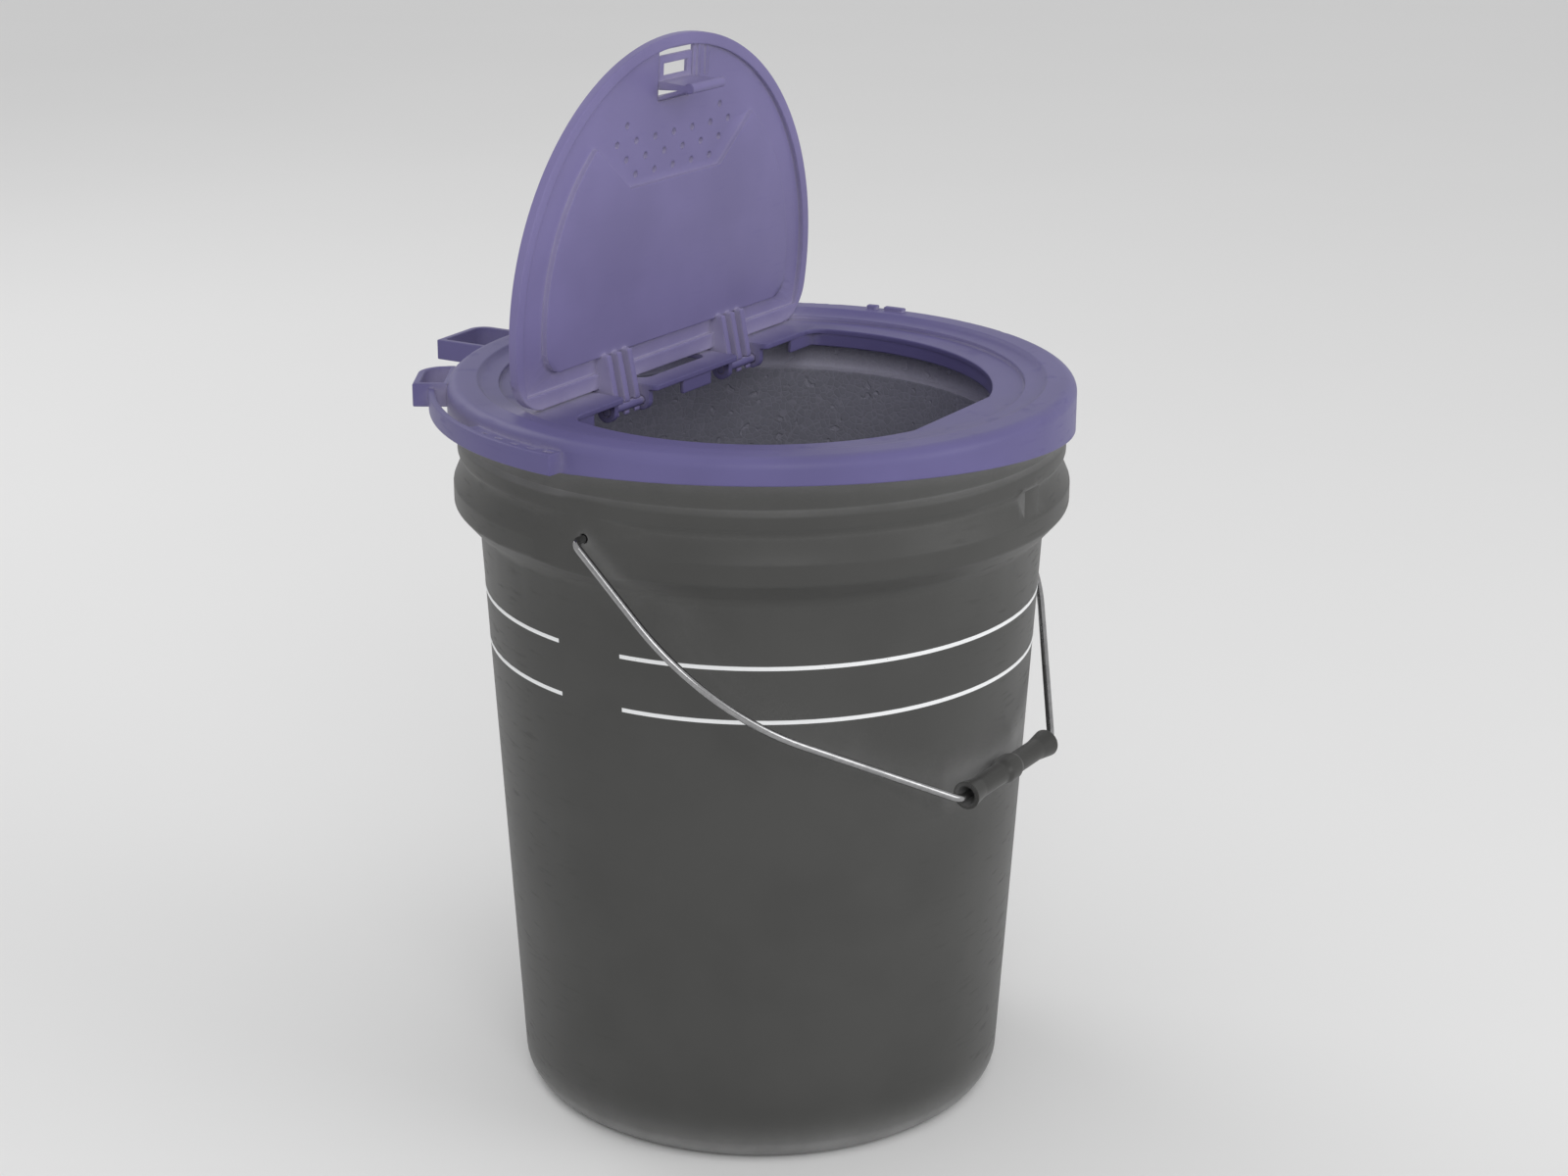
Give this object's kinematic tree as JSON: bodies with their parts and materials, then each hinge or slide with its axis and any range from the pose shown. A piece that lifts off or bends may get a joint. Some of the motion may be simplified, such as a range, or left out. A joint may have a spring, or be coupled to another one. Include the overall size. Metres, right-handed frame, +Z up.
{
  "type": "insulated bait bucket",
  "caption": "Tapered pail with a foam liner, a press-fit lid ring with a hinged vented flap and latch, and a wire bail with a turned grip, for carrying live bait.",
  "frame": {"origin": "middle of the pail's foot ring, on the surface it stands on", "axes": "+Z up along the pail's axis; X along the flap's hinge, through both ears of the bail; -Y is the front, where the bail hangs and the flap's free end catches"},
  "size_m": [0.3274, 0.3433, 0.5401],
  "materials": {
    "pail": "moulded charcoal plastic, satin",
    "foam": "bead-moulded rigid foam, matte",
    "lid": "moulded violet plastic, satin",
    "flap": "moulded violet plastic, satin",
    "latch": "moulded violet plastic, satin",
    "pins": "moulded violet plastic rod, satin",
    "wire": "bright drawn steel wire",
    "grip": "moulded charcoal plastic, satin"
  },
  "bodies": {
    "pail": {"bucket": "pail", "liner": "foam", "lid": "lid", "hinge_pin_left": "pins", "hinge_pin_right": "pins"},
    "flap": {"flap": "flap"},
    "latch": {"latch": "latch"},
    "bail": {"bail": "wire"},
    "grip": {"grip": "grip"}
  },
  "joints": [
    {"name": "flap_hinge", "type": "hinge", "parent": "pail", "child": "flap", "pos_m": [0, 0.048, 0.3627], "axis": [1, 0, 0], "range_deg": [0, 87]},
    {"name": "latch_press", "type": "hinge", "parent": "flap", "child": "latch", "pos_m": [0, 0.05258, 0.50844], "axis": [1, 0, 0], "range_deg": [0, 4], "stiffness_Nm_per_rad": 0.5},
    {"name": "bail_swing", "type": "hinge", "parent": "pail", "child": "bail", "pos_m": [0, 0, 0.329], "axis": [-1, 0, 0], "range_deg": [0, 132]},
    {"name": "grip_spin", "type": "hinge", "parent": "bail", "child": "grip", "pos_m": [0, -0.14459, 0.19417], "axis": [1, 0, 0], "continuous": true}
  ]
}
